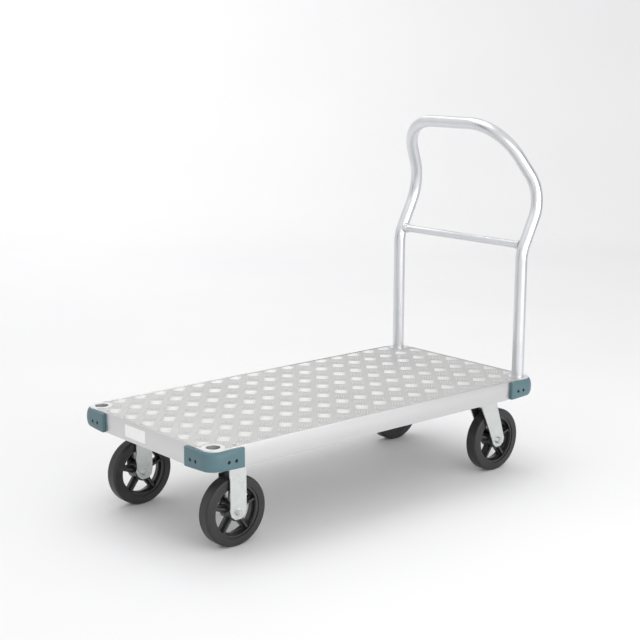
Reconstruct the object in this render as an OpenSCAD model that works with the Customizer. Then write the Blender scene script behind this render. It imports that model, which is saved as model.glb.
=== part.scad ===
// Aluminium platform truck: tread-plate deck in an extruded rim, cast corners with
// handle sockets, plastic corner bumpers, a bent tube push handle, two rigid casters
// at the front and two swivel casters under the handle.
// Frame: +X towards the handle, +Y to the right of a person pushing, +Z up, floor at z = 0.

/* [Deck] */
// Length of the deck over its rails
deck_l = 1260; // [1050:10:1600]
// Width of the deck over its rails
deck_w = 610; // [480:10:760]
// Height of the deck surface above the floor
deck_h = 305; // [295:1:340]
// Thickness of the tread plate, raised bars included
plate_t = 4; // [3:0.5:6]
// Gap between the tread plate and the rim around it
plate_gap = 1; // [0.5:0.5:2]
// Number of cross members under the tread plate
member_count = 3; // [2:1:5]
// Width of a cross member
member_w = 50; // [40:5:70]

/* [Rails] */
// Depth of the rails
rail_h = 60; // [50:1:70]
// Wall of the rails
rail_wall = 4; // [3:0.5:6]
// Width of the top lip outside the tread plate
rail_lip = 5; // [5:0.5:8]
// Width of the bottom flange
rail_flange = 34; // [25:1:40]
// Width of the ledge that carries the tread plate
rail_ledge = 26; // [20:1:34]

/* [Corners] */
// Distance from the rail faces to a handle socket's centre
socket_inset = 33.5; // [30:0.5:40]
// Radial clearance of a handle upright in its socket
socket_clear = 0.4; // [0.2:0.1:1]
// Thickness of the floor under a handle socket
socket_floor = 8; // [5:1:12]
// Length of a corner casting along each rail
corner_leg = 66; // [60:1:80]
// Thickness of a corner casting's walls
corner_wall = 8; // [6:1:10]
// Length of a bumper along each rail, from the corner of the rails
bumper_leg = 105; // [95:1:130]
// Thickness of a bumper
bumper_t = 10; // [6:1:14]
// Height of a bumper
bumper_h = 54; // [40:1:56]
// Distances of a bumper's two screws from the corner of the rails
bumper_screw_at = [53, 77];
// Depth of a bumper's screws below the deck surface
bumper_screw_drop = 36; // [20:1:40]
// Diameter of a bumper's screw heads
bumper_screw_head = 9; // [7:0.5:11]

/* [Handle] */
// Outside diameter of the handle tube
tube_d = 38; // [32:0.5:42]
// Wall of the handle tube
tube_wall = 2.5; // [2:0.5:4]
// Height above the deck at which the uprights bend back
bend_h = 392; // [330:5:450]
// Rearward reach of the handle's elbow
elbow_reach = 89; // [60:1:110]
// Rise from the first bend to the elbow
elbow_rise = 177; // [150:1:220]
// Forward reach from the elbow to the top bar
top_reach = 132; // [80:1:150]
// Rise from the elbow to the top bar
top_rise = 215; // [180:1:260]
// Distance that each side leans in between the elbow and the top bar
lean_in = 69; // [40:1:110]
// Bend radius where the uprights bend back
bend_r = 110; // [70:5:150]
// Bend radius at the elbow
elbow_r = 141; // [90:1:160]
// Bend radius at the top corners
top_r = 158; // [80:1:165]
// Diameter of the crossbar
crossbar_d = 24; // [18:1:30]
// Height of the crossbar above the deck
crossbar_h = 414; // [380:2:450]

/* [Wheels] */
// Diameter of the wheels
wheel_d = 200; // [175:5:205]
// Width of the tyres
tyre_w = 40; // [32:1:46]
// Radial thickness of the tyre rubber
tyre_t = 24; // [16:1:30]
// Radius of the tyre shoulders
tyre_shoulder = 7; // [3:1:9]
// Number of spokes
spoke_count = 5; // [4:1:6]
// Diameter of the hub
hub_d = 54; // [44:1:60]
// Distance from the side rails' faces to the wheels' centres
wheel_inset = 79; // [78:1:120]
// Distance from the front rail to the front axle
front_axle = 128; // [128:1:200]
// Distance from the rear rail to the swivel axis
swivel_inset = 144; // [128:1:220]
// Distance of a swivel caster's wheel behind its swivel axis
trail = 48; // [35:1:60]

/* [Casters] */
// Length of a caster's top plate along the deck
mount_l = 112; // [100:1:125]
// Width of a caster's top plate across the deck
mount_w = 86; // [80:1:100]
// Thickness of a caster's top plate
mount_t = 6; // [4:1:8]
// Bolt spacing of a top plate along the deck
bolt_pitch_x = 88; // [80:1:105]
// Bolt spacing of a top plate across the deck
bolt_pitch_y = 62; // [60:1:75]
// Diameter of the mounting bolts
mount_bolt_d = 10; // [8:1:12]
// Thickness of the fork legs
fork_t = 4; // [3:0.5:6]
// Width of a rigid fork's legs
fork_w = 54; // [44:1:64]
// Gap between the legs and each side of the tyre
fork_gap = 4.5; // [4:0.5:8]
// Depth of the fork below the axle
foot_r = 20; // [17:1:26]
// Diameter of the axle bolt
axle_d = 12; // [10:1:14]
// Outside diameter of the axle sleeve
sleeve_d = 18; // [16:1:20]
// Outside diameter of the roller cage
bearing_d = 30; // [26:1:34]
// Radial running clearance of the wheel on its sleeve
run_clear = 0.06; // [0.02:0.01:0.1]
// Diameter of the balls in a swivel head
ball_d = 7; // [6:0.5:8]
// Number of balls in a swivel head
ball_count = 16; // [10:1:18]
// Depth to which the balls sit in each race
race_bed = 2; // [1:0.5:3]
// Radius of the ring of balls
race_r = 26; // [24:0.5:30]
// Diameter of the kingpin
kingpin_d = 14; // [12:1:16]

/* [Name plate] */
// Length of the name plate on the front rail
label_l = 100; // [60:5:140]
// Height of the name plate
label_h = 35; // [20:1:40]
// Distance of the name plate's centre from the middle of the front rail
label_y = 46; // [-150:1:150]

/* [Hidden] */
CORNERS = [["front_left", -1, -1], ["front_right", -1, 1], ["rear_left", 1, -1], ["rear_right", 1, 1]];
SIDES = [["left", -1], ["right", 1]];
ENDS = [["front", -1], ["rear", 1]];
SWIVELS = [for (s = SIDES) [str("rear_", s[0]), s[1]]];
RIGIDS = [for (s = SIDES) [str("front_", s[0]), s[1]]];
WHEELS = concat(RIGIDS, SWIVELS);
$fn = 64;

// Levels of the deck
rail_z = deck_h - rail_h;
ledge_z = deck_h - plate_t;
ledge_t = 3;
plate_in = rail_lip + plate_gap;
socket_r = tube_d / 2 + socket_clear;
casting_top = deck_h - 1;
screw_z = deck_h - bumper_screw_drop;
bumper_top = deck_h - 5;
bumper_r = socket_inset + bumper_t;
seam = 0.3;
boss_r = min(socket_inset, corner_leg - seam - socket_inset);
notch_r = boss_r + plate_gap;
bend_swell = 0.15;
bend_lap = 1;

// Handle points: foot, first bend, elbow, top corner
upright_x = deck_l / 2 - socket_inset;
upright_y = deck_w / 2 - socket_inset;
foot_z = rail_z + socket_floor;
bend_z = deck_h + bend_h;
elbow = [upright_x + elbow_reach, upright_y, bend_z + elbow_rise];
top_corner = [elbow.x - top_reach, upright_y - lean_in, elbow.z + top_rise];
first_bend = [upright_x, upright_y, bend_z];
HANDLE_PATH = [
    [upright_x, upright_y, foot_z], first_bend, elbow, top_corner,
    mirror_y(top_corner), mirror_y(elbow), mirror_y(first_bend), [upright_x, -upright_y, foot_z]
];
HANDLE_RADII = [0, bend_r, elbow_r, top_r, top_r, elbow_r, bend_r, 0];

// The origin is under the middle of the whole truck, so the deck sits a little forward
elbow_in = unit(elbow - first_bend);
elbow_out = unit(top_corner - elbow);
elbow_axis = unit(cross(elbow_in, elbow_out));
elbow_centre = bend_centre(first_bend, elbow, top_corner, elbow_r);
handle_back = elbow_centre.x + elbow_r * sqrt(1 - pow(elbow_axis.x, 2)) + tube_d / 2;
bumper_back = deck_l / 2 + bumper_t;
deck_x = (bumper_back - max(handle_back, bumper_back)) / 2;

// Crossbar between the uprights, just above the first bend
crossbar_z = deck_h + crossbar_h;
bend_slope = elbow_reach / elbow_rise;
crossbar_x = upright_x + max(0, crossbar_z - bend_z) * bend_slope;
collar_d = crossbar_d + 6;
collar_l = 12;

// Caster levels
axle_z = wheel_d / 2;
mount_top = rail_z;
mount_z = mount_top - mount_t;
fork_in = tyre_w / 2 + fork_gap;
fork_out = fork_in + fork_t;
channel_w = min(mount_l + 12, 2 * (min(front_axle, swivel_inset) - corner_leg));
channel_t = 5;
swivel_x = deck_l / 2 - swivel_inset;
front_x = -deck_l / 2 + front_axle;
wheel_y = deck_w / 2 - wheel_inset;
rim_r = wheel_d / 2 - tyre_t;
rim_w = tyre_w - 5;
rim_t = 7;
hub_l = tyre_w + 4;
washer_t = fork_in - hub_l / 2 - seam;
bolt_hole_clear = 0.5;
race_ring_t = 5;
race_gap = 0.3;
crown_t = 5;
ball_z = mount_z - race_ring_t - ball_d / 2 + race_bed;
crown_z = ball_z - ball_d / 2 + race_bed - race_ring_t - crown_t;
kingpin_head = 5;

function unit(v) = v / norm(v);
function mirror_y(p) = [p.x, -p.y, p.z];
function turn_at(a, b, c) = acos(unit(b - a) * unit(c - b));
function bend_setback(a, b, c, r) = r * tan(turn_at(a, b, c) / 2);
function bend_centre(a, b, c, r) =
    b + unit(unit(c - b) - unit(b - a)) * r / cos(turn_at(a, b, c) / 2);

// Directions of a path's straight runs, and for each bend the direction it turns towards and its axis
function runs(path) = [for (i = [0:len(path) - 2]) unit(path[i + 1] - path[i])];
function bend_towards(d, i) = unit(d[i] - (d[i] * d[i - 1]) * d[i - 1]);
function bend_axis(d, i) = i == 0 ? [0, 1, 0] : cross(d[i - 1], bend_towards(d, i));
function bend_roll(d, i) = atan2(
    bend_towards(d, i) * bend_axis(d, i - 1),
    bend_towards(d, i) * cross(bend_axis(d, i - 1), d[i - 1])
);

module tube_section(r, bore) {
    difference() {
        circle(r = r);
        if (bore > 0) circle(r = bore);
    }
}

// A tube that starts upwards and follows a path, with a bend radius at each of its points.
// The bends are drawn a hair thicker than the straights, which run a little way into them.
module bent_tube(path, radii, r, bore, i = 0) {
    d = runs(path);
    last = len(path) - 1;
    before = i == 0 ? 0 : bend_setback(path[i - 1], path[i], path[i + 1], radii[i]);
    after = i == last - 1 ? 0 : bend_setback(path[i], path[i + 1], path[i + 2], radii[i + 1]);
    straight = norm(path[i + 1] - path[i]) - before - after;
    lap_before = i == 0 ? 0 : bend_lap;
    lap_after = i == last - 1 ? 0 : bend_lap;
    translate([0, 0, -lap_before]) linear_extrude(height = straight + lap_before + lap_after)
        tube_section(r, bore);
    if (i < last - 1) {
        angle = acos(d[i] * d[i + 1]);
        turn_r = radii[i + 1];
        translate([0, 0, straight]) rotate([0, 0, bend_roll(d, i + 1)]) translate([turn_r, 0, 0]) {
            rotate([90, 0, 180]) rotate_extrude(angle = angle)
                translate([turn_r, 0]) tube_section(r + bend_swell, bore - bend_swell);
            rotate([0, angle, 0]) translate([-turn_r, 0, 0]) bent_tube(path, radii, r, bore, i + 1);
        }
    }
}

// Children placed on the deck's centre line
module on_deck() {
    translate([deck_x, 0, 0]) children();
}

// A corner's own frame: origin at the corner of the rails, +x and +y inwards along them
module at_corner(c) {
    on_deck()
        translate([c[1] * deck_l / 2, c[2] * deck_w / 2, 0])
            mirror([c[1] > 0 ? 1 : 0, 0, 0])
                mirror([0, c[2] > 0 ? 1 : 0, 0])
                    children();
}

module at_all_corners() {
    for (c = CORNERS) at_corner(c) children();
}

// The four bolt places of a caster's top plate
module at_mount_bolts() {
    for (x = [-1, 1], y = [-1, 1]) translate([x * bolt_pitch_x / 2, y * bolt_pitch_y / 2, 0]) children();
}

// The caster mounts, with x at the axle of a rigid caster or at the swivel axis
module at_all_mounts() {
    on_deck() for (x = [front_x, swivel_x], s = SIDES) translate([x, s[1] * wheel_y, 0]) children();
}

module hex(across, h) {
    cylinder(d = across / cos(30), h = h, $fn = 6);
}

// Plan outline of a corner: a quarter with a rounded outer edge, moved out by out
module corner_outline(reach, out, r) {
    difference() {
        translate([-out, -out]) square(reach + out);
        difference() {
            translate([-out - 1, -out - 1]) square(r + 1);
            translate([r - out, r - out]) circle(r = r);
        }
    }
}

module tread_plate() {
    color([0.78, 0.78, 0.76]) difference() {
        on_deck() translate([-deck_l / 2 + plate_in, -deck_w / 2 + plate_in, ledge_z])
            cube([deck_l - 2 * plate_in, deck_w - 2 * plate_in, plate_t]);
        at_all_corners() translate([0, 0, ledge_z - 1]) {
            translate([socket_inset, socket_inset, 0]) cylinder(r = notch_r, h = plate_t + 2);
            cube([socket_inset, socket_inset, plate_t + 2]);
        }
        at_all_corners() at_plate_screws() {
            translate([0, 0, ledge_z - 1]) cylinder(d = 5.4, h = plate_t + 2);
            translate([0, 0, deck_h - 2.5]) cylinder(d1 = 5.4, d2 = 10.4, h = 2.5);
            translate([0, 0, deck_h - 0.01]) cylinder(d = 10.4, h = 1);
        }
    }
}

// Two screws beside each corner hold the tread plate down on the ledge
module at_plate_screws() {
    translate([corner_leg + 26, 20, 0]) children();
    translate([20, corner_leg + 26, 0]) children();
}

module plate_screws() {
    color([0.7, 0.7, 0.7]) at_all_corners() at_plate_screws() {
        translate([0, 0, deck_h - 2.5]) cylinder(d1 = 5, d2 = 10, h = 2.5);
        translate([0, 0, ledge_z - ledge_t - 4]) cylinder(d = 5, h = plate_t + ledge_t + 2);
    }
}

// Section of a rail: x is the distance in from its outer face
module rail_section() {
    translate([0, rail_z]) square([rail_wall, rail_h]);
    translate([0, deck_h - plate_t - 4]) square([rail_lip, plate_t + 4]);
    translate([0, rail_z]) square([rail_flange, 4]);
    translate([0, ledge_z - ledge_t]) square([rail_ledge, ledge_t]);
    translate([rail_flange - 3, rail_z]) square([3, 9]);
}

// A rail of length l along +x, its outer face on the y = 0 plane
module rail(l) {
    translate([0, 0, 0]) rotate([90, 0, 90]) linear_extrude(height = l) rail_section();
}

module rail_holes() {
    for (x = bumper_screw_at) if (x > corner_leg)
        translate([x, -1, screw_z]) rotate([-90, 0, 0]) cylinder(d = 4.4, h = rail_wall + 2);
}

module side_rail(s) {
    run = deck_l - 2 * corner_leg;
    color([0.8, 0.8, 0.8]) difference() {
        on_deck() mirror([0, s > 0 ? 1 : 0, 0])
            translate([-run / 2, -deck_w / 2, 0]) rail(run);
        for (c = CORNERS) if (c[2] == s) at_corner(c) {
            rail_holes();
            at_plate_screws() translate([0, 0, ledge_z - ledge_t - 1]) cylinder(d = 5.4, h = ledge_t + 2);
        }
    }
}

module end_rail(e) {
    run = deck_w - 2 * corner_leg;
    color([0.8, 0.8, 0.8]) difference() {
        on_deck() mirror([e > 0 ? 1 : 0, 0, 0]) translate([-deck_l / 2, run / 2, 0])
            rotate([0, 0, -90]) rail(run);
        for (c = CORNERS) if (c[1] == e) at_corner(c) {
            mirror([1, -1, 0]) rail_holes();
            at_plate_screws() translate([0, 0, ledge_z - ledge_t - 1]) cylinder(d = 5.4, h = ledge_t + 2);
        }
    }
}

// Channel across the deck under the plate, coped over the side rails' flanges and ledges
module cross_channel(w, t) {
    over = deck_w - 2 * (rail_wall + seam);
    between = deck_w - 2 * (rail_flange + seam);
    under_ledge = ledge_z - ledge_t - seam;
    clear_ledge = deck_w - 2 * (rail_ledge + seam);
    intersection() {
        difference() {
            translate([-w / 2, -over / 2, rail_z]) cube([w, over, rail_h - plate_t]);
            translate([-w / 2 + t, -over / 2 - 1, rail_z + t]) cube([w - 2 * t, over + 2, rail_h]);
        }
        union() {
            translate([-w, -between / 2, rail_z - 1]) cube([2 * w, between, rail_h]);
            translate([-w, -over / 2, rail_z + 9 + seam])
                cube([2 * w, over, under_ledge - rail_z - 9 - seam]);
        }
        union() {
            translate([-w, -clear_ledge / 2, rail_z - 1]) cube([2 * w, clear_ledge, rail_h + 1]);
            translate([-w, -over, rail_z - 1]) cube([2 * w, 2 * over, under_ledge - rail_z + 1]);
        }
    }
}

module cross_members() {
    span = swivel_x - front_x - channel_w;
    start = front_x + channel_w / 2;
    color([0.72, 0.73, 0.73]) on_deck() for (i = [1:member_count])
        translate([start + i * span / (member_count + 1), 0, 0]) cross_channel(member_w, 3);
}

module caster_channel(x) {
    color([0.72, 0.73, 0.73]) difference() {
        on_deck() translate([x, 0, 0]) cross_channel(channel_w, channel_t);
        at_all_mounts() {
            at_mount_bolts() translate([0, 0, rail_z - 1])
                cylinder(d = mount_bolt_d + 2 * bolt_hole_clear, h = channel_t + 2);
            translate([0, 0, rail_z - 1]) cylinder(d = kingpin_d + 20, h = channel_t + 2);
        }
    }
}

// Cast corner: a boss with the handle socket, joined to the two rails' ends
module corner_casting(c) {
    h = casting_top - rail_z;
    color([0.82, 0.83, 0.83]) at_corner(c) difference() {
        union() {
            translate([0, 0, rail_z]) linear_extrude(height = h) difference() {
                corner_outline(corner_leg - seam, 0, socket_inset);
                translate([corner_wall, corner_wall]) square(corner_leg);
            }
            translate([socket_inset, socket_inset, rail_z]) cylinder(r = boss_r, h = h);
            translate([0, 0, rail_z]) linear_extrude(height = socket_floor - 2) difference() {
                corner_outline(corner_leg - seam, 0, socket_inset);
                translate([corner_leg + 12, corner_leg + 12]) circle(r = 44);
            }
            translate([0, 0, ledge_z - 5]) linear_extrude(height = 5) difference() {
                corner_outline(corner_leg - seam, 0, socket_inset);
                translate([corner_leg + 12, corner_leg + 12]) circle(r = 44);
            }
        }
        translate([socket_inset, socket_inset, foot_z]) cylinder(r = socket_r, h = rail_h);
        translate([socket_inset, socket_inset, rail_z - 1]) cylinder(d = 10.5, h = rail_h);
        // Step that lets the tread plate lie over the legs
        translate([0, 0, ledge_z - seam]) difference() {
            translate([plate_in - seam, plate_in - seam, 0]) cube([corner_leg, corner_leg, plate_t + 2]);
            translate([socket_inset, socket_inset, -1]) cylinder(r = boss_r, h = plate_t + 4);
            translate([-1, -1, -1]) cube([socket_inset + 1, socket_inset + 1, plate_t + 4]);
        }
        for (m = [0, 1]) mirror([m, -m, 0]) for (x = bumper_screw_at) if (x < corner_leg)
            translate([x, -1, screw_z])
                rotate([-90, 0, 0]) cylinder(d = 4.4, h = corner_wall + 2);
    }
}

module corner_bumper(c) {
    color([0.42, 0.53, 0.55]) at_corner(c) difference() {
        translate([0, 0, bumper_top - bumper_h]) linear_extrude(height = bumper_h) difference() {
            corner_outline(bumper_leg, bumper_t, bumper_r);
            translate([-seam, -seam]) difference() {
                square(bumper_leg + 2);
                difference() {
                    translate([-1, -1]) square(socket_inset + 1 + seam);
                    translate([socket_inset + seam, socket_inset + seam]) circle(r = socket_inset + seam);
                }
            }
        }
        for (m = [0, 1]) mirror([m, -m, 0]) for (x = bumper_screw_at)
            translate([x, 0, screw_z]) rotate([90, 0, 0]) {
                translate([0, 0, -1]) cylinder(d = 4.4, h = bumper_t + 2);
                translate([0, 0, bumper_t - 4]) cylinder(d = bumper_screw_head + 1, h = 5);
            }
    }
}

module bumper_screws() {
    color([0.25, 0.26, 0.27]) at_all_corners()
        for (m = [0, 1]) mirror([m, -m, 0]) for (x = bumper_screw_at)
            translate([x, 0, screw_z]) rotate([90, 0, 0]) {
                translate([0, 0, bumper_t - 4]) cylinder(d1 = bumper_screw_head, d2 = bumper_screw_head - 2, h = 3);
                translate([0, 0, -rail_wall - 3]) cylinder(d = 4, h = bumper_t + rail_wall);
            }
}

module name_plate() {
    color([0.95, 0.95, 0.94]) on_deck()
        translate([-deck_l / 2 - 0.8, label_y - label_l / 2, rail_z + (rail_h - label_h) / 2])
            cube([0.8, label_l, label_h]);
}

module handle_tube() {
    color([0.83, 0.84, 0.86]) on_deck() translate(HANDLE_PATH[0])
        bent_tube(HANDLE_PATH, HANDLE_RADII, tube_d / 2, tube_d / 2 - tube_wall);
}

// Crossbar between the uprights, its ends shaped to the tubes and set in short collars
module handle_crossbar() {
    half = upright_y - 2;
    color([0.83, 0.84, 0.86]) on_deck() difference() {
        union() {
            translate([crossbar_x, -half, crossbar_z]) rotate([-90, 0, 0]) cylinder(d = crossbar_d, h = 2 * half);
            for (s = [-1, 1]) translate([crossbar_x, s * half, crossbar_z]) rotate([s * 90, 0, 0])
                cylinder(d = collar_d, h = collar_l + tube_d / 2 - 2);
        }
        translate(HANDLE_PATH[0]) bent_tube(HANDLE_PATH, HANDLE_RADII, tube_d / 2 + 0.05, 0);
    }
}

// Threaded plugs in the feet of the uprights
module handle_end_plugs() {
    color([0.45, 0.46, 0.47]) on_deck() for (s = [-1, 1])
        translate([upright_x, s * upright_y, foot_z]) difference() {
            cylinder(r = tube_d / 2 - tube_wall - 0.02, h = 30);
            translate([0, 0, -1]) cylinder(d = 10.1, h = 26);
        }
}

// Bolts from below that hold the uprights in their sockets
module handle_bolts() {
    color([0.2, 0.2, 0.21]) on_deck() for (s = [-1, 1])
        translate([upright_x, s * upright_y, rail_z]) {
            translate([0, 0, -7]) hex(16, 7);
            translate([0, 0, -1]) cylinder(d = 10, h = socket_floor + 20);
        }
}

module caster_bolts() {
    color([0.6, 0.61, 0.63]) at_all_mounts() at_mount_bolts() {
        translate([0, 0, mount_z - 6.4]) hex(mount_bolt_d * 1.6, 6.4);
        translate([0, 0, mount_z - 1]) cylinder(d = mount_bolt_d, h = mount_t + channel_t + 14);
    }
}

module caster_nuts() {
    color([0.6, 0.61, 0.63]) at_all_mounts() at_mount_bolts()
        translate([0, 0, rail_z + channel_t]) difference() {
            union() {
                cylinder(d = mount_bolt_d * 2, h = 2);
                hex(mount_bolt_d * 1.6, 10);
            }
            translate([0, 0, -1]) cylinder(d = mount_bolt_d + 0.1, h = 12);
        }
}

module mount_plate() {
    translate([-mount_l / 2, -mount_w / 2, mount_z]) cube([mount_l, mount_w, mount_t]);
}

module mount_plate_holes() {
    at_mount_bolts() translate([0, 0, mount_z - 1]) cylinder(d = mount_bolt_d + 2 * bolt_hole_clear, h = mount_t + 2);
}

// One leg's outline, seen from the side: top from x0 to x1 at z = top, rounded foot at the axle
module leg_outline(x0, x1, top, axle_x) {
    tuck = foot_r * 0.5;
    polygon([
        [x0, top], [axle_x - foot_r - 7, axle_z + 4], [axle_x - foot_r - 3, axle_z - tuck],
        [axle_x - tuck, axle_z - foot_r], [axle_x + tuck, axle_z - foot_r],
        [axle_x + foot_r + 3, axle_z - tuck], [axle_x + foot_r + 7, axle_z + 4], [x1, top]
    ]);
}

module fork_legs(x0, x1, top, axle_x) {
    difference() {
        for (s = [-1, 1]) translate([0, s > 0 ? fork_out : -fork_in, 0]) rotate([90, 0, 0])
            linear_extrude(height = fork_t) leg_outline(x0, x1, top, axle_x);
        translate([axle_x, 0, axle_z]) rotate([90, 0, 0])
            cylinder(d = axle_d + 0.3, h = 2 * fork_out + 2, center = true);
    }
}

// Rigid caster: top plate with a pressed fork welded under it
module rigid_fork() {
    half = fork_w / 2;
    color([0.85, 0.86, 0.87]) difference() {
        union() {
            mount_plate();
            fork_legs(-half, half, mount_z + 0.5, 0);
            translate([-half, -fork_out, mount_z - fork_t]) cube([fork_w, 2 * fork_out, fork_t + 0.5]);
        }
        mount_plate_holes();
    }
}

// Swivel caster's top plate with the upper ball race
module swivel_plate() {
    color([0.85, 0.86, 0.87]) difference() {
        union() {
            mount_plate();
            translate([0, 0, mount_z - race_ring_t]) cylinder(r = race_r + 7, h = race_ring_t + 1);
        }
        mount_plate_holes();
        translate([0, 0, mount_z - race_ring_t - 1]) cylinder(d = kingpin_d + 0.1, h = mount_t + race_ring_t + 2);
        translate([0, 0, ball_z]) rotate_extrude() translate([race_r, 0]) circle(d = ball_d + 2 * race_gap);
        translate([0, 0, mount_z - race_ring_t - 1]) cylinder(r = race_r - 7, h = 3);
    }
}

module swivel_balls() {
    color([0.75, 0.76, 0.78]) translate([0, 0, ball_z])
        for (i = [0:ball_count - 1]) rotate([0, 0, i * 360 / ball_count])
            translate([race_r, 0, 0]) sphere(d = ball_d, $fn = 24);
}

// Pivot bolt of a swivel head, riveted in the top plate, with its nut under the crown
module kingpin() {
    color([0.6, 0.61, 0.63]) {
        translate([0, 0, mount_top]) cylinder(d = kingpin_d + 8, h = kingpin_head);
        translate([0, 0, crown_z - 12]) cylinder(d = kingpin_d, h = mount_top - crown_z + 12);
        translate([0, 0, crown_z - 10]) hex(kingpin_d * 1.5, 9.7);
    }
}

// Swivelling fork: crown with the lower race, and two legs that lean back to the axle
module swivel_fork() {
    half = race_r + 8;
    race_z = crown_z + crown_t;
    color([0.85, 0.86, 0.87]) difference() {
        union() {
            fork_legs(-half, half + 2, race_z, trail);
            translate([-half, -fork_out, crown_z]) cube([2 * half + 2, 2 * fork_out, crown_t]);
            translate([0, 0, race_z - 1]) cylinder(r = race_r + 7, h = race_ring_t + 1);
        }
        translate([0, 0, crown_z - 1]) cylinder(r = kingpin_d / 2 + run_clear, h = 20);
        translate([0, 0, ball_z]) rotate_extrude() translate([race_r, 0]) circle(d = ball_d + 0.1);
        translate([0, 0, race_z + race_ring_t - 2]) cylinder(r = race_r - 7, h = 3);
    }
}

// Axle bolt with its head, washers inside the legs and lock nut
module axle() {
    head = 8;
    color([0.6, 0.61, 0.63]) translate([0, 0, axle_z]) rotate([90, 0, 0]) {
        translate([0, 0, -fork_out - head]) cylinder(d = axle_d, h = 2 * fork_out + 2 * head + 2);
        translate([0, 0, fork_out]) hex(axle_d * 1.5, head);
        translate([0, 0, -fork_out - head]) hex(axle_d * 1.5, head);
    }
}

// Steel sleeve clamped between the legs, with a thrust washer at each end
module axle_sleeve() {
    color([0.7, 0.71, 0.73]) translate([0, 0, axle_z]) rotate([90, 0, 0]) difference() {
        union() {
            cylinder(d = sleeve_d, h = 2 * fork_in, center = true);
            for (s = [-1, 1]) translate([0, 0, s * (fork_in - washer_t / 2)])
                cylinder(d = hub_d - 16, h = washer_t, center = true);
        }
        cylinder(d = axle_d + 0.1, h = 2 * fork_in + 2, center = true);
    }
}

// Roller cage pressed in the hub and running on the sleeve
module roller_cage() {
    color([0.55, 0.56, 0.58]) translate([0, 0, axle_z]) rotate([90, 0, 0]) difference() {
        cylinder(d = bearing_d, h = hub_l - 4, center = true);
        cylinder(r = sleeve_d / 2 + run_clear, h = hub_l, center = true);
    }
}

// Cast wheel centre: rim, hub and tapered spokes with a stiffening rib
module wheel_centre() {
    color([0.13, 0.13, 0.14]) translate([0, 0, axle_z]) rotate([90, 0, 0]) difference() {
        union() {
            difference() {
                cylinder(r = rim_r, h = rim_w, center = true, $fn = 96);
                cylinder(r = rim_r - rim_t, h = rim_w + 2, center = true, $fn = 96);
            }
            difference() {
                cylinder(r = rim_r - 1, h = 8, center = true, $fn = 96);
                cylinder(r = rim_r - rim_t - 6, h = 10, center = true, $fn = 96);
            }
            cylinder(d = hub_d, h = hub_l, center = true);
            for (i = [0:spoke_count - 1]) rotate([0, 0, 18 + i * 360 / spoke_count]) {
                linear_extrude(height = 9, center = true)
                    polygon([[0, -13], [rim_r - 4, -8], [rim_r - 4, 8], [0, 13]]);
                linear_extrude(height = rim_w - 6, center = true)
                    polygon([[0, -3.5], [rim_r - 4, -3], [rim_r - 4, 3], [0, 3.5]]);
            }
        }
        cylinder(d = bearing_d + 0.04, h = hub_l + 2, center = true);
    }
}

// Solid rubber tyre moulded on the rim
module tyre() {
    r = wheel_d / 2;
    s = tyre_shoulder;
    color([0.1, 0.1, 0.1]) translate([0, 0, axle_z]) rotate([90, 0, 0]) rotate_extrude($fn = 128) {
        translate([rim_r + 0.05, -tyre_w / 2]) square([tyre_t - s, tyre_w]);
        translate([rim_r + 0.05, -tyre_w / 2 + s]) square([tyre_t - 0.05, tyre_w - 2 * s]);
        for (m = [-1, 1]) translate([r - s, m * (tyre_w / 2 - s)]) circle(r = s);
    }
}

// A caster's place: rigid casters at the axle, swivel casters at the swivel axis
module at_rigid(w) {
    on_deck() translate([front_x, w[1] * wheel_y, 0]) children();
}

module at_swivel(w) {
    on_deck() translate([swivel_x, w[1] * wheel_y, 0]) children();
}

// A wheel's place, at its axle
module at_wheel(w) {
    if (search([w[0]], RIGIDS) != [[]]) at_rigid(w) children();
    else at_swivel(w) translate([trail, 0, 0]) children();
}

tread_plate();
plate_screws();
cross_members();
for (s = SIDES) side_rail(s[1]);
for (e = ENDS) end_rail(e[1]);
caster_channel(front_x);  // caster_channel_front
caster_channel(swivel_x);  // caster_channel_rear
for (c = CORNERS) corner_casting(c);
for (c = CORNERS) corner_bumper(c);
bumper_screws();
name_plate();
handle_tube();
handle_crossbar();
handle_end_plugs();
handle_bolts();
caster_bolts();
caster_nuts();
for (w = RIGIDS) at_rigid(w) rigid_fork();
for (w = SWIVELS) at_swivel(w) swivel_plate();
for (w = SWIVELS) at_swivel(w) kingpin();
for (w = SWIVELS) at_swivel(w) swivel_balls();
for (w = SWIVELS) at_swivel(w) swivel_fork();
for (w = WHEELS) at_wheel(w) axle();
for (w = WHEELS) at_wheel(w) axle_sleeve();
for (w = WHEELS) at_wheel(w) roller_cage();
for (w = WHEELS) at_wheel(w) wheel_centre();
for (w = WHEELS) at_wheel(w) tyre();
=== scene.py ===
"""Aluminium platform truck: tread-plate deck, corner bumpers, push handle and four casters."""

import math

import bmesh
import bpy
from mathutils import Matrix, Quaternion, Vector

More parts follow.
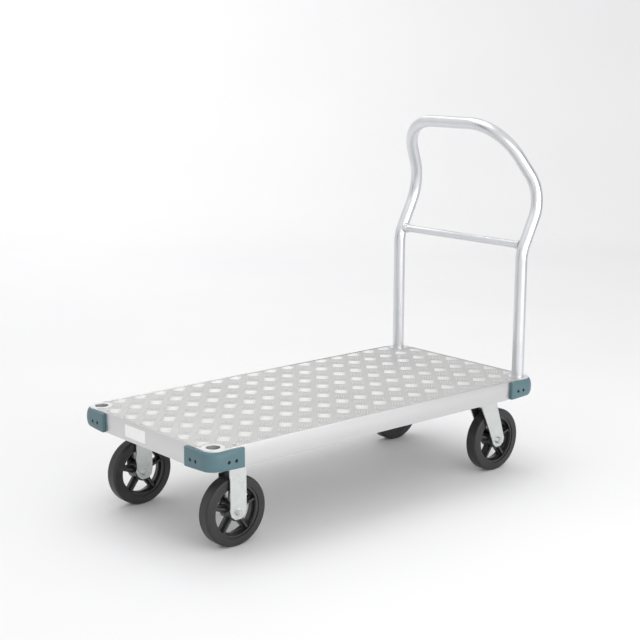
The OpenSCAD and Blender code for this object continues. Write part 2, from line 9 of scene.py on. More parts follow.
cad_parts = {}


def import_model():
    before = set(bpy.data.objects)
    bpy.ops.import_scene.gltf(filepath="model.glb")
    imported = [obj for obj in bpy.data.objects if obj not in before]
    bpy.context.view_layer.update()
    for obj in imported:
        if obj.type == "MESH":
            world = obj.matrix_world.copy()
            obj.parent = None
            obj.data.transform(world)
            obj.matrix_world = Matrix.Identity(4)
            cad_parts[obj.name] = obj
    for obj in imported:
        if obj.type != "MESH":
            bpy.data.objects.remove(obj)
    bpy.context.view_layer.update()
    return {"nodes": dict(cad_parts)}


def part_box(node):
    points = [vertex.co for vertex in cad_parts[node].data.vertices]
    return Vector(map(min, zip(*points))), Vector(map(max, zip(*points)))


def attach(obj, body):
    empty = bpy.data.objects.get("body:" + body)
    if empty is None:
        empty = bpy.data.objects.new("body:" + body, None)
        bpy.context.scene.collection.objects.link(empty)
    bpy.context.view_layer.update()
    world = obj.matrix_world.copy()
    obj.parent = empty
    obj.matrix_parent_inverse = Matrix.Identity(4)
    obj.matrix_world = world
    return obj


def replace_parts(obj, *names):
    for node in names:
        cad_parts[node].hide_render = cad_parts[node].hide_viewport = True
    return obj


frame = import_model()
nodes = frame["nodes"]
scene = bpy.context.scene


# ---------------------------------------------------------------- deck plate
# The deck is one sheet of five-bar aluminium tread plate, sheared to size, with its
# corners cut away round the handle sockets. The bars are rolled into the sheet, so they
# are part of it; it lies on the rim's ledge and is held by countersunk screws.

SOCKET_INSET = 0.0335
NOTCH_RADIUS = 0.0332
SHEAR_GAP = 0.001
BAR_HEIGHT = 0.0014
BAR_LENGTH = 0.041
BAR_WIDTH = 0.0048
BAR_PITCH = 0.0075
BARS = 5
GROUP_STEP = Vector((0.0712, 0.0848))
GROUP_START = Vector((0.0163, 0.0265))
BAR_SPOTS = 12
FEWEST_SPOTS = 4
BAR_MARGIN = 0.0015


class Shade:
    """A shader socket. Arithmetic on it adds Math nodes to its material."""

    def __init__(self, socket):
        self.socket = socket

    @staticmethod
    def add(tree, kind, settings=None, inputs=None, out=0):
        """Adds a node, sets its settings, then the values or links of its inputs."""
        node = tree.nodes.new(kind)
        for name, value in (settings or {}).items():
            setattr(node, name, value)
        for name, value in (inputs or {}).items():
            if isinstance(value, Shade):
                tree.links.new(value.socket, node.inputs[name])
            else:
                node.inputs[name].default_value = value
        return Shade(node.outputs[out])

    def maths(self, operation, other):
        tree = self.socket.id_data
        return Shade.add(tree, "ShaderNodeMath", {"operation": operation}, {0: self, 1: other})

    def __add__(self, other):
        return self.maths("ADD", other)

    def __sub__(self, other):
        return self.maths("SUBTRACT", other)

    def __mul__(self, other):
        return self.maths("MULTIPLY", other)

    def __truediv__(self, other):
        return self.maths("DIVIDE", other)

    def __rsub__(self, other):
        return self * -1 + other

    def __rtruediv__(self, other):
        return self.maths("POWER", -1) * other

    __radd__ = __add__
    __rmul__ = __mul__

    def mix(self, low, high):
        """Mixes two colours, or two sockets that carry one, by this socket."""
        ends = {6: low, 7: high}
        ends = {n: (*end, 1) if isinstance(end, tuple) else end for n, end in ends.items()}
        tree = self.socket.id_data
        return Shade.add(tree, "ShaderNodeMix", {"data_type": "RGBA"}, {0: self, **ends}, out=2)


def material(name, color, roughness, metallic=0.0, coat=0.0):
    """A new material with a Principled shader, and the shader node and tree to add to."""
    made = bpy.data.materials.new(name)
    made.use_nodes = True
    shader = made.node_tree.nodes["Principled BSDF"]
    shader.inputs["Base Color"].default_value = (*color, 1)
    shader.inputs["Roughness"].default_value = roughness
    shader.inputs["Metallic"].default_value = metallic
    shader.inputs["Coat Weight"].default_value = coat
    return made, made.node_tree, shader


def feed(tree, shader, name, shade):
    tree.links.new(shade.socket, shader.inputs[name])


def bump(tree, shader, height, distance, strength=1.0):
    inputs = {"Height": height, "Distance": distance, "Strength": strength}
    feed(tree, shader, "Normal", Shade.add(tree, "ShaderNodeBump", inputs=inputs))


def stretched(tree, scale):
    """Object coordinates times one scale, or one for each axis."""
    place = Shade.add(tree, "ShaderNodeTexCoord", out=3)
    each = scale if isinstance(scale, tuple) else (scale, scale, scale)
    return Shade.add(tree, "ShaderNodeMapping", inputs={"Vector": place, "Scale": each})


def noise(tree, scale, detail=3.0, rough=0.5):
    """Noise with so many cells to a metre; scales that differ by axis draw it out into lines."""
    inputs = {"Vector": stretched(tree, scale), "Scale": 1.0, "Detail": detail, "Roughness": rough}
    return Shade.add(tree, "ShaderNodeTexNoise", inputs=inputs)


def surfaced(mesh, look, sharp):
    """Gives a mesh its material, and smooth faces but for edges sharper than an angle in degrees."""
    mesh.materials.clear()
    mesh.materials.append(look)
    mesh.polygons.foreach_set("use_smooth", [True] * len(mesh.polygons))
    mesh.set_sharp_from_angle(angle=math.radians(sharp))


def piece(name, verts, faces, look, slot, sharp=35):
    """A mesh piece of the truck's fixed body."""
    mesh = bpy.data.meshes.new(name)
    mesh.from_pydata(verts, [], faces)
    mesh.validate()
    surfaced(mesh, look, sharp)
    made = bpy.data.objects.new(name, mesh)
    scene.collection.objects.link(made)
    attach(made, "truck")
    return made


def tread_look():
    look, tree, shader = material("tread_plate_aluminium", (0.74, 0.74, 0.73), 0.34, 1.0)
    place = Shade.add(tree, "ShaderNodeTexCoord", out=3)
    height = Shade.add(tree, "ShaderNodeSeparateXYZ", inputs={"Vector": place}, out=2)
    # Painted highlight: a mask that rises up each bar to its crest, where light catches the bar tops.
    up_the_bar = (height - (plate_high.z - BAR_HEIGHT)) / BAR_HEIGHT
    crest_highlight = up_the_bar.maths("MINIMUM", 1).maths("MAXIMUM", 0)
    cloud = noise(tree, 3)
    rolled = noise(tree, (4, 220, 4), 4)
    scuffs = noise(tree, 60, 6, 0.7)
    sheet = cloud.mix((0.53, 0.527, 0.52), (0.64, 0.637, 0.63))
    # The bars' crests are painted lighter than the sheet, a painted highlight; they are also made a
    # little glossier.
    feed(tree, shader, "Base Color", crest_highlight.mix(sheet, (0.68, 0.68, 0.675)))
    feed(tree, shader, "Roughness", 0.38 + 0.12 * cloud + 0.1 * scuffs - 0.04 * crest_highlight)
    bump(tree, shader, rolled * 0.5 + scuffs * 0.5, 0.0004, 0.25)
    return look


plate_low, plate_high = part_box("tread_plate")
rail_low, rail_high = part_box("side_rail_left")[0].y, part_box("side_rail_right")[1].y
deck_low = Vector((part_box("end_rail_front")[0].x, rail_low, 0))
deck_high = Vector((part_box("end_rail_rear")[1].x, rail_high, plate_high.z))
deck_centre = (deck_low + deck_high) / 2
sockets = [
    Vector((x, y))
    for x in (deck_low.x + SOCKET_INSET, deck_high.x - SOCKET_INSET)
    for y in (deck_low.y + SOCKET_INSET, deck_high.y - SOCKET_INSET)
]


def plate_outline(steps=14):
    """Counter-clockwise outline of the plate, its corners cut out round the sockets."""
    reach = SOCKET_INSET - (plate_low.x - deck_low.x) - SHEAR_GAP
    open_angle = math.acos(reach / NOTCH_RADIUS)
    points = []
    for sx, sy in ((-1, -1), (1, -1), (1, 1), (-1, 1)):
        centre = Vector((
            deck_centre.x + sx * (deck_high.x - deck_centre.x - SOCKET_INSET),
            sy * (deck_high.y - SOCKET_INSET),
        ))
        inward = math.atan2(-sy, -sx)
        half = math.pi * 3 / 4 - open_angle
        for i in range(steps + 1):
            angle = inward + half - 2 * half * i / steps
            points.append(centre + NOTCH_RADIUS * Vector((math.cos(angle), math.sin(angle))))
    return points


def on_plate(point, margin):
    """Whether a point lies on the sheet, at least a margin from its edges and notches."""
    edge = SHEAR_GAP + margin
    if not (plate_low.x + edge < point.x < plate_high.x - edge):
        return False
    if not (plate_low.y + edge < point.y < plate_high.y - edge):
        return False
    return all((point - socket).length > NOTCH_RADIUS + margin for socket in sockets)


def bar_verts(start, end, floor):
    """One raised bar: a long lens in plan, with a rounded crest, sunk a little into the sheet."""
    along = (end - start) / 2
    middle = (start + end) / 2
    side = Vector((-along.y, along.x)).normalized() * BAR_WIDTH / 2
    places = (-1, -0.8, -0.4, 0, 0.4, 0.8, 1)
    outline = [(t, t ** 4 - 1) for t in places] + [(t, 1 - t ** 4) for t in places[-2:0:-1]]
    levels = ((1, 1, -0.0001), (0.95, 0.7, 0.65 * BAR_HEIGHT), (0.88, 0.3, BAR_HEIGHT))
    return [
        (*(middle + along * t * length + side * b * width), floor + rise)
        for length, width, rise in levels for t, b in outline
    ]


# A bar has three rings of twelve points: its foot, its shoulder and its crest.
BAR_RING = 12
BAR_FACES = [
    (i + k, (i + 1) % BAR_RING + k, (i + 1) % BAR_RING + k + BAR_RING, i + k + BAR_RING)
    for k in (0, BAR_RING) for i in range(BAR_RING)
] + [tuple(range(BAR_RING - 1, -1, -1)), tuple(range(2 * BAR_RING, 3 * BAR_RING))]


def tread_plate():
    top, bottom = plate_high.z - BAR_HEIGHT, plate_low.z
    outline = plate_outline()
    count = len(outline)
    verts = [(*p, top) for p in outline] + [(*p, bottom) for p in outline]
    faces = [tuple(range(count)), tuple(range(2 * count - 1, count - 1, -1))]
    faces += [(i, i + count, (i + 1) % count + count, (i + 1) % count) for i in range(count)]
    # The groups lean one way and the other in turn, and the second kind lies half a step on.
    # A bar that crosses the sheet's edge or a notch is cut short there, or left out.
    for half, along in ((0, Vector((1, -1)).normalized()), (0.5, Vector((1, 1)).normalized())):
        across = Vector((-along.y, along.x))
        for i in range(-10, 10):
            for j in range(-5, 5):
                group = GROUP_START + GROUP_STEP * Vector((i + half, j + half))
                for k in range(BARS):
                    middle = group + across * (k - (BARS - 1) / 2) * BAR_PITCH
                    shares = [n / BAR_SPOTS - 0.5 for n in range(BAR_SPOTS + 1)]
                    spots = [middle + along * BAR_LENGTH * share for share in shares]
                    inside = [spot for spot in spots if on_plate(spot, BAR_MARGIN)]
                    if len(inside) >= FEWEST_SPOTS:
                        base = len(verts)
                        verts += bar_verts(inside[0], inside[-1], top)
                        faces += [tuple(base + n for n in face) for face in BAR_FACES]
    plate = piece("deck_tread_plate", verts, faces, tread_look(), "deck_aluminium", 50)
    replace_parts(plate, "tread_plate")


tread_plate()


# ---------------------------------------------------------------- screws
# Countersunk bright screws hold the plate down on the ledge, and black oxide screws
# hold the bumpers; both are bought parts of turned steel.


def steel_look(name, color, roughness, spread):
    look, tree, shader = material(name, color, roughness, 1.0)
    grain = noise(tree, 90, 4)
    patch = noise(tree, 14, 2)
    dull = tuple(c * 0.8 for c in color)
    feed(tree, shader, "Base Color", patch.mix(dull, tuple(min(1, c * 1.15) for c in color)))
    feed(tree, shader, "Roughness", roughness - spread / 2 + spread * grain)
    bump(tree, shader, grain, 0.0003, 0.15)
    return look


def dress(look, *names):
    """Gives CAD nodes a material."""
    for name in names:
        slots = nodes[name].data.materials
        slots.clear()
        slots.append(look)


dress(steel_look("bright_screw_steel", (0.72, 0.72, 0.72), 0.3, 0.2), "plate_screws")
dark_steel = steel_look("black_oxide_steel", (0.035, 0.035, 0.038), 0.42, 0.2)
dress(dark_steel, "bumper_screws", "handle_bolts")


# ---------------------------------------------------------------- rim
# Four aluminium extrusions frame the deck: a flat wall with a rounded top lip, a ledge
# for the plate and a bottom flange. They are cut square and butt against the castings.


def extruded_look(name, along):
    look, tree, shader = material(name, (0.8, 0.8, 0.8), 0.3, 1.0)
    fine = {"x": (1.5, 700, 700), "y": (700, 1.5, 700)}[along]
    wide = {"x": (0.8, 30, 30), "y": (30, 0.8, 30)}[along]
    lines = noise(tree, fine, 3)
    bands = noise(tree, wide, 3)
    cloud = noise(tree, 5, 3)
    feed(tree, shader, "Base Color", bands.mix((0.6, 0.6, 0.605), (0.7, 0.7, 0.7)))
    feed(tree, shader, "Roughness", 0.24 + 0.12 * cloud + 0.1 * bands)
    bump(tree, shader, lines, 0.0002, 0.2)
    return look


def arc(centre, radius, start, end, steps):
    """Points of an arc in a section, angles in degrees."""
    out = []
    for i in range(steps + 1):
        angle = math.radians(start + (end - start) * i / steps)
        out.append((centre[0] + radius * math.cos(angle), centre[1] + radius * math.sin(angle)))
    return out


HEEL_ROUND = 0.0015
INNER_ROUND = 0.001
OUTER_ROUND = 0.0022
RAIL_WALL = 0.004
RAIL_LIP = 0.0045
RAIL_LEDGE = 0.026
RAIL_FLANGE = 0.034
RAIL_TOE = 0.009
TOE_THICK = 0.003
LEDGE_THICK = 0.003
FLANGE_THICK = 0.004
rail_top, rail_bottom = deck_high.z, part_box("side_rail_left")[0].z
ledge_top = plate_low.z
rail_section = (
    arc((HEEL_ROUND, rail_bottom + HEEL_ROUND), HEEL_ROUND, 180, 270, 3)
    + [(RAIL_FLANGE, rail_bottom), (RAIL_FLANGE, rail_bottom + RAIL_TOE)]
    + [(RAIL_FLANGE - TOE_THICK, rail_bottom + RAIL_TOE)]
    + [(RAIL_FLANGE - TOE_THICK, rail_bottom + FLANGE_THICK)]
    + [(RAIL_WALL, rail_bottom + FLANGE_THICK), (RAIL_WALL, ledge_top - LEDGE_THICK)]
    + [(RAIL_LEDGE, ledge_top - LEDGE_THICK), (RAIL_LEDGE, ledge_top), (RAIL_LIP, ledge_top)]
    + arc((RAIL_LIP - INNER_ROUND, rail_top - INNER_ROUND), INNER_ROUND, 0, 90, 2)
    + arc((OUTER_ROUND, rail_top - OUTER_ROUND), OUTER_ROUND, 90, 180, 5)
)


def turned_out(made):
    """Merges a piece's doubled points, and turns its faces outward."""
    mesh = bmesh.new()
    mesh.from_mesh(made.data)
    bmesh.ops.remove_doubles(mesh, verts=mesh.verts, dist=1e-6)
    bmesh.ops.recalc_face_normals(mesh, faces=mesh.faces)
    mesh.to_mesh(made.data)
    mesh.free()


def rail(name, look, place):
    """Extrudes the rail section; place(depth, z, end) gives a point at either end."""
    count = len(rail_section)
    verts = [place(d, z, end) for end in (0, 1) for d, z in rail_section]
    faces = [(i, (i + 1) % count, (i + 1) % count + count, i + count) for i in range(count)]
    faces += [tuple(range(count - 1, -1, -1)), tuple(range(count, 2 * count))]
    made = piece(name + "_extrusion", verts, faces, look, "rail_aluminium", 30)
    turned_out(made)
    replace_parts(made, name)


long_look = extruded_look("extruded_rail_long", "x")
short_look = extruded_look("extruded_rail_cross", "y")
side_low, side_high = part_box("side_rail_left")
end_low, end_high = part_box("end_rail_front")
side_ends = (side_low.x, side_high.x)
cross_ends = (end_low.y, end_high.y)
rail("side_rail_left", long_look, lambda d, z, e: (side_ends[e], deck_low.y + d, z))
rail("side_rail_right", long_look, lambda d, z, e: (side_ends[e], deck_high.y - d, z))
rail("end_rail_front", short_look, lambda d, z, e: (deck_low.x + d, cross_ends[e], z))
rail("end_rail_rear", short_look, lambda d, z, e: (deck_high.x - d, cross_ends[e], z))


# ---------------------------------------------------------------- frame under the deck
# Channels of mill-finish aluminium cross the frame under the plate, and two wider ones
# carry the casters; they are welded to the rails' flanges.


def mill_look():
    look, tree, shader = material("mill_aluminium", (0.66, 0.67, 0.67), 0.42, 1.0)
    streak = noise(tree, (60, 2, 60), 4)
    cloud = noise(tree, 9, 3)
    feed(tree, shader, "Base Color", cloud.mix((0.55, 0.56, 0.56), (0.72, 0.72, 0.72)))
    feed(tree, shader, "Roughness", 0.32 + 0.2 * streak)
    bump(tree, shader, streak, 0.0004, 0.2)
    return look


dress(mill_look(), "cross_members", "caster_channel_front", "caster_channel_rear")


# ---------------------------------------------------------------- corner castings
# Cast aluminium corners join the rails and hold the handle's uprights in blind sockets;
# the socket's mouth is machined bright, flush with the deck, but here the whole casting takes one
# cast finish.


def casting_look():
    look, tree, shader = material("cast_aluminium", (0.84, 0.84, 0.84), 0.24, 1.0)
    sand = noise(tree, 420, 2)
    cloud = noise(tree, 30, 3)
    feed(tree, shader, "Base Color", cloud.mix((0.7, 0.7, 0.705), (0.82, 0.82, 0.82)))
    feed(tree, shader, "Roughness", 0.34 + 0.16 * cloud)
    bump(tree, shader, sand, 0.0003, 0.15)
    return look


CORNERS = {"front_left": (-1, -1), "front_right": (-1, 1), "rear_left": (1, -1), "rear_right": (1, 1)}
dress(casting_look(), *("corner_casting_" + c for c in CORNERS))


# ---------------------------------------------------------------- corner bumpers
# Moulded blue-grey plastic wraps each corner, proud of the rails. Its outer edges are
# rounded, and two screws in counterbores hold each leg to the casting and the rail.

BUMPER_PROUD = 0.010
BUMPER_LEG = 0.105
BUMPER_GAP = 0.0003
END_ROUND = (0.0022, 0.0025)
CORNER_ROUND = 0.0094
END_DRAFT = 0.001
SCREW_AT = (0.053, 0.077)
SCREW_BELOW_DECK = 0.036
SCREW_WELL = 0.005
WELL_LENGTH = 0.008
# Each leg's section is drawn at these distances from the deck's corner.
LEG_POINTS = (BUMPER_LEG, BUMPER_LEG - 0.002, 0.094, 0.086, 0.078, 0.07, 0.062, 0.054, 0.044)
BULGE_POWER = 1.5


def plastic_look():
    look, tree, shader = material("bumper_plastic", (0.085, 0.16, 0.185), 0.42)
    pebble = noise(tree, 900, 2)
    cloud = noise(tree, 18, 4)
    feed(tree, shader, "Base Color", cloud.mix((0.07, 0.14, 0.16), (0.1, 0.18, 0.205)))
    feed(tree, shader, "Roughness", 0.36 + 0.14 * cloud)
    bump(tree, shader, pebble, 0.0004, 0.12)
    return look


def bumper_path(steps=16):
    """Points on the rails' faces round a corner: place, way out, and how round the section is."""
    r = SOCKET_INSET
    legs = [(d, ((BUMPER_LEG - d) / (BUMPER_LEG - r)) ** BULGE_POWER) for d in LEG_POINTS]
    line = [((d, 0), (0, -1), share) for d, share in legs]
    for i in range(steps + 1):
        angle = math.radians(270 - 90 * i / steps)
        out = (math.cos(angle), math.sin(angle))
        line.append(((r + r * out[0], r + r * out[1]), out, 1))
    return line + [((0, d), (-1, 0), share) for d, share in reversed(legs)]


def bumper_section(share, low, high):
    """A bumper's section as (out, z) points: near square at 0, and round from top to bottom at 1."""
    most = (CORNER_ROUND, (high - low) / 2 - 0.0005)
    a, b = (end + (corner - end) * share for end, corner in zip(END_ROUND, most))
    foot = [(BUMPER_PROUD - a + a * u, low + b + b * v) for u, v in arc((0, 0), 1, -90, 0, 8)]
    head = [(BUMPER_PROUD - a + a * u, high - b + b * v) for u, v in arc((0, 0), 1, 0, 90, 8)]
    return [(BUMPER_GAP, low), *foot, *head, (BUMPER_GAP, high)]


def bored(made, spots):
    """Cuts screw wells into a piece, each spot the centre of a cylinder and its turn."""
    wells = []
    for at, turn in spots:
        bpy.ops.mesh.primitive_cylinder_add(
            vertices=24, radius=SCREW_WELL, depth=WELL_LENGTH, rotation=turn, location=at
        )
        wells.append(bpy.context.object)
        cut = made.modifiers.new("well", "BOOLEAN")
        cut.object = wells[-1]
        cut.solver = "EXACT"
        cut.operation = "DIFFERENCE"
    bpy.context.view_layer.update()
    solid = made.evaluated_get(bpy.context.evaluated_depsgraph_get())
    mesh = bpy.data.meshes.new_from_object(solid)
    made.modifiers.clear()
    made.data = mesh
    for well in wells:
        bpy.data.objects.remove(well)


def bumper(corner, look, low, high):
    sx, sy = CORNERS[corner]
    origin = Vector((deck_high.x if sx > 0 else deck_low.x, deck_high.y if sy > 0 else deck_low.y, 0))

    def world(x, y, z):
        return (origin.x - sx * x, origin.y - sy * y, z)

    path = bumper_path()
    verts = []
    for i, ((x, y), (ox, oy), share) in enumerate(path):
        draft = END_DRAFT if i in (0, len(path) - 1) else 0
        for out, z in bumper_section(share, low, high):
            depth = max(BUMPER_GAP, out - draft)
            verts.append(world(x + ox * depth, y + oy * depth, z))
    n = len(verts) // len(path)
    faces = []
    for i in range(len(path) - 1):
        for k in range(n):
            a, b = i * n + k, i * n + (k + 1) % n
            faces.append((a, b, b + n, a + n))
    faces += [tuple(range(n)), tuple(range(len(verts) - n, len(verts)))]
    made = piece("bumper_" + corner, verts, faces, look, "bumper_plastic", 30)
    turned_out(made)
    screw_z = deck_high.z - SCREW_BELOW_DECK
    across, along = (math.pi / 2, 0, 0), (0, math.pi / 2, 0)
    spots = []
    for at in SCREW_AT:
        spots.append((world(at, -BUMPER_PROUD, screw_z), across))
        spots.append((world(-BUMPER_PROUD, at, screw_z), along))
    bored(made, spots)
    surfaced(made.data, look, 40)
    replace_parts(made, "corner_bumper_" + corner)


bumper_look = plastic_look()
bumper_low, bumper_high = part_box("corner_bumper_front_left")
for corner in CORNERS:
    bumper(corner, bumper_look, bumper_low.z, bumper_high.z)


# ---------------------------------------------------------------- name plate
# A blank white film label, die-cut with round corners, stuck on the front rail.

LABEL_ROUND = 0.003
LABEL_BACK = 0.0003


def film_look():
    look, tree, shader = material("white_film", (0.86, 0.86, 0.85), 0.35, 0, 0.2)
    dirt = noise(tree, 60, 5, 0.6)
    feed(tree, shader, "Base Color", dirt.mix((0.8, 0.8, 0.79), (0.9, 0.9, 0.89)))
    feed(tree, shader, "Roughness", 0.3 + 0.12 * dirt)
    return look


def name_plate():
    low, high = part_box("name_plate")
    r = LABEL_ROUND
    outline = []
    for y, z, start in ((high.y - r, high.z - r, 0), (low.y + r, high.z - r, 90),
                        (low.y + r, low.z + r, 180), (high.y - r, low.z + r, 270)):
        outline += arc((y, z), r, start, start + 90, 5)
    count = len(outline)
    front, back = low.x + LABEL_BACK, high.x
    verts = [(front, y, z) for y, z in outline] + [(back, y, z) for y, z in outline]
    faces = [tuple(range(count - 1, -1, -1)), tuple(range(count, 2 * count))]
    faces += [(i, (i + 1) % count, (i + 1) % count + count, i + count) for i in range(count)]
    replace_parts(piece("name_film", verts, faces, film_look(), "name_plate"), "name_plate")


name_plate()


# ---------------------------------------------------------------- handle
# One length of anodised aluminium tube, bent to shape and dropped in the rear sockets.
# The sides bend back, turn forward again at the elbow and lean in to the top bar; a
# lighter crossbar is welded between them, with a short collar at each end.

TUBE_RADIUS = 0.019
TUBE_BORE = 0.0165
BENDS = (0.110, 0.141, 0.158)
ELBOW_REACH, ELBOW_RISE = 0.089, 0.177
TOP_REACH, TOP_RISE = 0.132, 0.215
LEAN_IN = 0.069
BEND_ABOVE_DECK = 0.392
CROSSBAR_ABOVE_DECK = 0.414
CROSSBAR_RADIUS = 0.012
CROSSBAR_SINK = 0.004
# How far the weld and the collar stand proud of the crossbar, and how far from its end.
WELD_AND_COLLAR = (
    (0.005, 0), (0.005, 0.005), (0.0037, 0.0068), (0.003, 0.0075),
    (0.003, 0.0145), (0.002, 0.0155), (0.0006, 0.0165), (0, 0.018),
)


def anodised_look(name, axes):
    look, tree, shader = material(name, (0.8, 0.805, 0.815), 0.27, 1.0)
    drawn = noise(tree, axes, 3)
    cloud = noise(tree, (12, 12, 9), 4, 0.6)
    feed(tree, shader, "Base Color", cloud.mix((0.62, 0.63, 0.65), (0.78, 0.785, 0.8)))
    feed(tree, shader, "Roughness", 0.2 + 0.14 * cloud + 0.06 * drawn)
    bump(tree, shader, drawn, 0.0003, 0.15)
    return look


def filleted(points, radii, step=math.radians(4)):
    """A path's points, with an arc of the given radius at each inner one."""
    line = [points[0]]
    for i, radius in enumerate(radii, 1):
        a, b, c = points[i - 1], points[i], points[i + 1]
        u, v = (b - a).normalized(), (c - b).normalized()
        turn = u.angle(v)
        middle = b + (v - u).normalized() * radius / math.cos(turn / 2)
        start = b - u * radius * math.tan(turn / 2) - middle
        axis = u.cross(v).normalized()
        steps = max(4, round(turn / step))
        line += [middle + Quaternion(axis, turn * n / steps) @ start for n in range(steps + 1)]
    return line + [points[-1]]


def swept(line, radius, bore, sides=40):
    """A hollow tube along a path, its ends closed by rings."""
    verts, faces = [], []
    heading = (line[1] - line[0]).normalized()
    side = heading.orthogonal().normalized()
    rings = len(line)
    for i, point in enumerate(line):
        ahead = (line[min(i + 1, rings - 1)] - line[max(i - 1, 0)]).normalized()
        side = (side - ahead * side.dot(ahead)).normalized()
        other = ahead.cross(side)
        for r in (radius, bore):
            for k in range(sides):
                angle = 2 * math.pi * k / sides
                verts.append(point + r * (math.cos(angle) * side + math.sin(angle) * other))
    loop = 2 * sides
    for i in range(rings - 1):
        for k in range(sides):
            a, b = i * loop + k, i * loop + (k + 1) % sides
            faces.append((a, b, b + loop, a + loop))
            a, b = a + sides, b + sides
            faces.append((a, a + loop, b + loop, b))
    for base, order in ((0, -1), ((rings - 1) * loop, 1)):
        for k in range(sides):
            a, b = base + k, base + (k + 1) % sides
            faces.append((a, b, b + sides, a + sides)[::order])
    return verts, faces


handle_look = anodised_look("anodised_tube", (260, 260, 3))
upright_x = deck_high.x - SOCKET_INSET
upright_y = deck_high.y - SOCKET_INSET
foot = Vector((upright_x, upright_y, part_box("handle_tube")[0].z))
first_bend = Vector((upright_x, upright_y, deck_high.z + BEND_ABOVE_DECK))
elbow = first_bend + Vector((ELBOW_REACH, 0, ELBOW_RISE))
top_corner = elbow + Vector((-TOP_REACH, -LEAN_IN, TOP_RISE))


def mirrored(point):
    return Vector((point.x, -point.y, point.z))


half_path = [foot, first_bend, elbow, top_corner]
handle_path = half_path + [mirrored(p) for p in reversed(half_path)]
handle_line = filleted(handle_path, BENDS + BENDS[::-1])
handle_mesh = swept(handle_line, TUBE_RADIUS, TUBE_BORE)
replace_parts(piece("push_handle", *handle_mesh, handle_look, "handle_aluminium"), "handle_tube")


def lathe(profile, sides, place):
    """Turns a profile of (radius, along) points; place(x, y, along) sets each point."""
    verts, faces = [], []
    for k in range(sides):
        angle = 2 * math.pi * k / sides
        verts += [place(r * math.cos(angle), r * math.sin(angle), a) for r, a in profile]
    n = len(profile)
    for k in range(sides):
        for i in range(n - 1):
            a, b = k * n + i, (k + 1) % sides * n + i
            faces.append((a, b, b + 1, a + 1))
    return verts, faces


def crossbar():
    z = deck_high.z + CROSSBAR_ABOVE_DECK
    x = upright_x + (CROSSBAR_ABOVE_DECK - BEND_ABOVE_DECK) * ELBOW_REACH / ELBOW_RISE
    end = upright_y - TUBE_RADIUS + CROSSBAR_SINK
    half = [(0, end)] + [(CROSSBAR_RADIUS + proud, end - back) for proud, back in WELD_AND_COLLAR]
    profile = half + [(radius, -along) for radius, along in reversed(half)]
    verts, faces = lathe(profile, 40, lambda a, b, along: (x + a, along, z + b))
    crossbar_look = anodised_look("anodised_crossbar", (200, 3, 200))
    bar = piece("handle_cross_tube", verts, faces, crossbar_look, "handle_aluminium")
    turned_out(bar)
    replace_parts(bar, "handle_crossbar")


crossbar()


# ---------------------------------------------------------------- casters' steelwork
# Top plates, pressed forks, axles, kingpins, bolts and nuts are zinc-plated steel. The
# swivel heads run on a ring of ground balls.

WHEELS = ("front_left", "front_right", "rear_left", "rear_right")
RIGID, SWIVEL = WHEELS[:2], WHEELS[2:]


def zinc_look(name, color, roughness):
    look, tree, shader = material(name, color, roughness, 1.0)
    spangle = Shade.add(tree, "ShaderNodeTexVoronoi", {"feature": "SMOOTH_F1"},
                        {"Vector": stretched(tree, 160), "Scale": 1.0, "Smoothness": 0.6})
    cloud = noise(tree, 40, 4)
    low, high = tuple(c * 0.86 for c in color), tuple(min(1, c * 1.1) for c in color)
    feed(tree, shader, "Base Color", cloud.mix(low, high))
    feed(tree, shader, "Roughness", roughness - 0.1 + 0.2 * cloud)
    bump(tree, shader, spangle * 0.4 + cloud, 0.0005, 0.15)
    return look


fork_look = zinc_look("zinc_plated_fork", (0.66, 0.68, 0.67), 0.3)
bolt_look = zinc_look("zinc_plated_bolt", (0.6, 0.61, 0.62), 0.34)
ball_look = steel_look("ground_steel", (0.62, 0.62, 0.64), 0.18, 0.1)
dress(fork_look, *("swivel_plate_" + w for w in SWIVEL), *("rigid_fork_" + w for w in RIGID))
dress(fork_look, *("swivel_fork_" + w for w in SWIVEL))
dress(bolt_look, "caster_bolts", "caster_nuts", "handle_end_plugs", *("axle_" + w for w in WHEELS))
dress(bolt_look, *("kingpin_" + w for w in SWIVEL))
dress(ball_look, *("swivel_balls_" + w for w in SWIVEL), *("axle_sleeve_" + w for w in WHEELS))
dress(ball_look, *("roller_cage_" + w for w in WHEELS))


# ---------------------------------------------------------------- wheels
# Each wheel is a solid black rubber tyre, flat on its crown, moulded on a cast centre
# with five spokes, which is painted black.


def rubber_look():
    look, tree, shader = material("tyre_rubber", (0.012, 0.012, 0.013), 0.42)
    dust = noise(tree, 35, 5, 0.6)
    skin = noise(tree, 600, 2)
    feed(tree, shader, "Base Color", dust.mix((0.009, 0.009, 0.010), (0.028, 0.028, 0.029)))
    feed(tree, shader, "Roughness", 0.34 + 0.2 * dust)
    bump(tree, shader, skin, 0.0004, 0.12)
    return look


def enamel_look():
    look, tree, shader = material("black_enamel", (0.012, 0.012, 0.013), 0.3, 0, 0.3)
    orange_peel = noise(tree, 260, 2)
    dust = noise(tree, 50, 4)
    feed(tree, shader, "Base Color", dust.mix((0.010, 0.010, 0.011), (0.022, 0.022, 0.023)))
    feed(tree, shader, "Roughness", 0.24 + 0.16 * dust)
    bump(tree, shader, orange_peel, 0.0005, 0.2)
    return look


dress(enamel_look(), *("wheel_centre_" + w for w in WHEELS))
dress(rubber_look(), *("tyre_" + w for w in WHEELS))


# ---------------------------------------------------------------- studio
# A pale paper sweep curves up behind the truck. A big soft light hangs over the deck, two
# more face its sides and one lights the backdrop; dark flags give the metal its edges.

SWEEP_HALF_WIDTH = 14.0
SWEEP_FAR = 4.5
SWEEP_BEND = 2.5
SWEEP_RISE = 6.0


def paper_look():
    look, tree, shader = material("paper_sweep", (0.8, 0.8, 0.81), 0.75)
    fibre = noise(tree, 1, 2)
    feed(tree, shader, "Base Color", fibre.mix((0.8, 0.8, 0.81), (0.84, 0.84, 0.845)))
    return look


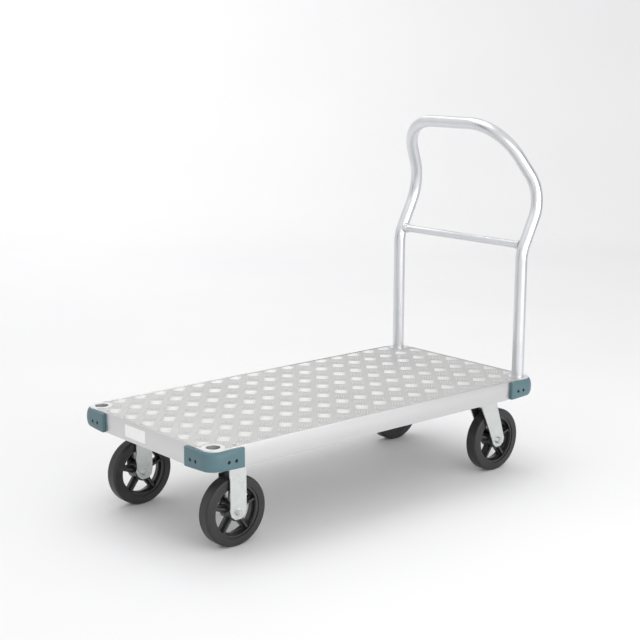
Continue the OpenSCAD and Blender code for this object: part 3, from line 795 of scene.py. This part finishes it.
def sweep():
    heading = Vector((0.640, 0.741, 0)).normalized()
    side = Vector((heading.y, -heading.x, 0))
    curve = arc((SWEEP_FAR, SWEEP_BEND), SWEEP_BEND, -90, 0, 24)
    line = [(-SWEEP_HALF_WIDTH, 0)] + curve + [(SWEEP_FAR + SWEEP_BEND, SWEEP_RISE)]
    sides = (-SWEEP_HALF_WIDTH, SWEEP_HALF_WIDTH)
    verts = [tuple(heading * a + side * s + Vector((0, 0, z))) for a, z in line for s in sides]
    faces = [(2 * i, 2 * i + 1, 2 * i + 3, 2 * i + 2) for i in range(len(line) - 1)]
    mesh = bpy.data.meshes.new("sweep")
    mesh.from_pydata(verts, [], faces)
    mesh.materials.append(paper_look())
    mesh.polygons.foreach_set("use_smooth", [True] * len(mesh.polygons))
    made = bpy.data.objects.new("sweep", mesh)
    scene.collection.objects.link(made)


def aimed(name, data, at, target):
    """Puts a light or a card in the set, facing a point."""
    made = bpy.data.objects.new(name, data)
    made.location = at
    made.rotation_mode = "QUATERNION"
    made.rotation_quaternion = (Vector(target) - Vector(at)).to_track_quat("-Z", "Y")
    scene.collection.objects.link(made)
    return made


def area_light(name, at, target, size, power):
    data = bpy.data.lights.new(name, "AREA")
    data.shape = "RECTANGLE"
    data.size, data.size_y = size
    data.energy = power
    aimed(name, data, at, target)


def cloth_look():
    look, tree, shader = material("flag_cloth", (0.03, 0.03, 0.03), 0.9)
    weave = noise(tree, 40, 2)
    feed(tree, shader, "Base Color", weave.mix((0.02, 0.02, 0.02), (0.05, 0.05, 0.05)))
    return look


def flag(name, at, target, size, look):
    """A dark card beside the set that only the metal's reflections see."""
    mesh = bpy.data.meshes.new(name)
    w, h = size[0] / 2, size[1] / 2
    mesh.from_pydata([(-w, -h, 0), (w, -h, 0), (w, h, 0), (-w, h, 0)], [], [(0, 1, 2, 3)])
    mesh.materials.append(look)
    made = aimed(name, mesh, at, target)
    made.visible_camera = made.visible_diffuse = made.visible_shadow = False


sweep()
area_light("key", (-0.3, 0.5, 3.2), (-0.1, 0, 0.3), (2.6, 2.0), 24)
area_light("fill", (-1.6, -3.8, 2.0), (0, 0, 0.3), (2.5, 1.5), 25)
area_light("skirt", (0.8, -3.4, 1.0), (0, 0, 0.1), (3.0, 1.2), 32)
area_light("backdrop", (0.9, 4.4, 4.4), (3.2, 6.4, 0.6), (2.0, 2.0), 60)
flag_look = cloth_look()
flag("flag_left", (-4.2, 1.2, 1.2), (0, 0, 0.7), (1.1, 3.2), flag_look)
flag("flag_right", (3.4, -2.6, 1.2), (0, 0, 0.7), (1.3, 3.2), flag_look)
world = bpy.data.worlds.new("surround")
world.use_nodes = True
surround = world.node_tree.nodes["Background"]
surround.inputs["Color"].default_value = (1, 1, 1, 1)
surround.inputs["Strength"].default_value = 0.9
scene.world = world
scene.view_settings.view_transform = "Standard"


# ---------------------------------------------------------------- camera
# A long lens at standing height, from the front left corner.

camera_data = bpy.data.cameras.new("camera")
camera_data.sensor_width = 36
camera_data.lens = 76.42
camera = bpy.data.objects.new("camera", camera_data)
camera.location = (-2.628, -3.023, 1.347)
azimuth, pitch, roll = math.radians(40.81), math.radians(11.70), math.radians(0.17)
level = Vector((math.sin(azimuth), math.cos(azimuth), 0))
forward = level * math.cos(pitch) - Vector((0, 0, math.sin(pitch)))
camera.rotation_mode = "QUATERNION"
camera.rotation_quaternion = forward.to_track_quat("-Z", "Y") @ Quaternion((0, 0, 1), roll)
scene.collection.objects.link(camera)
scene.camera = camera
